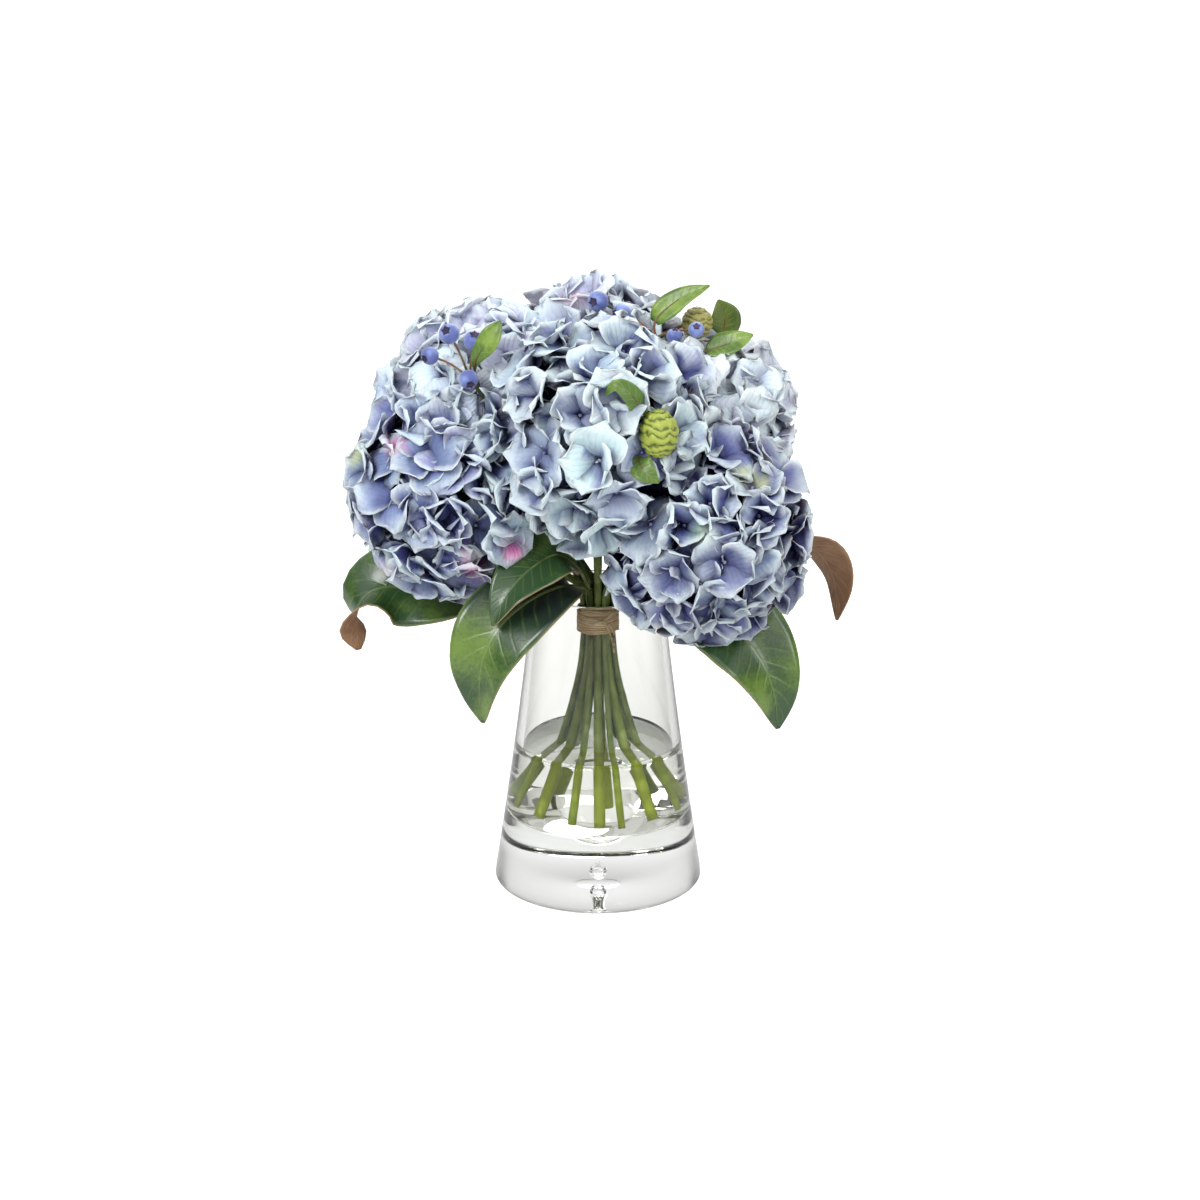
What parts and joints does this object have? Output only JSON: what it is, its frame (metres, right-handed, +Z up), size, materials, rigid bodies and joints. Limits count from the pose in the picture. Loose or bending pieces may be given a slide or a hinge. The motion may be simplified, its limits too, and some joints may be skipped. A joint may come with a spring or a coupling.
{
  "type": "hydrangeas in a vase",
  "caption": "Tied bunch of blue mophead hydrangeas with glossy leaves, blueberry twigs and seed pods, standing in water in a tapered clear glass vase with a thick base.",
  "frame": {"origin": "centre of the vase's underside", "axes": "+Z up along the vase's axis, -Y towards the viewer of the bunch's front, +X to the right as seen from the front"},
  "size_m": [0.3293, 0.2504, 0.4029],
  "materials": {
    "vase_glass": "clear polished glass",
    "clear_water": "still clear water",
    "raffia": "dry tan plant fibre",
    "blue_sepals": "matt soft petals, periwinkle blue with pale rims",
    "green_stem": "smooth green stalk",
    "magnolia_leaf": "glossy green above, rust brown below",
    "berries_and_pods": "powdery blue berries, with lime green pods and leaves on brown twigs"
  },
  "bodies": {
    "root": {"vase": "vase_glass", "water": "clear_water", "raffia_tie": "raffia", "hydrangea_front": "blue_sepals", "hydrangea_left": "blue_sepals", "hydrangea_right": "blue_sepals", "hydrangea_top": "blue_sepals", "hydrangea_top_left": "blue_sepals", "hydrangea_top_right": "blue_sepals", "hydrangea_back_left": "blue_sepals", "hydrangea_back_right": "blue_sepals", "bloom_stem_front": "green_stem", "bloom_stem_left": "green_stem", "bloom_stem_right": "green_stem", "bloom_stem_top": "green_stem", "bloom_stem_top_left": "green_stem", "bloom_stem_top_right": "green_stem", "bloom_stem_back_left": "green_stem", "bloom_stem_back_right": "green_stem", "magnolia_stem_left": "magnolia_leaf", "magnolia_stem_right": "magnolia_leaf", "magnolia_stem_back": "magnolia_leaf", "berry_twig_left": "berries_and_pods", "berry_twig_top": "berries_and_pods", "pod_twig_front": "berries_and_pods"}
  },
  "joints": []
}
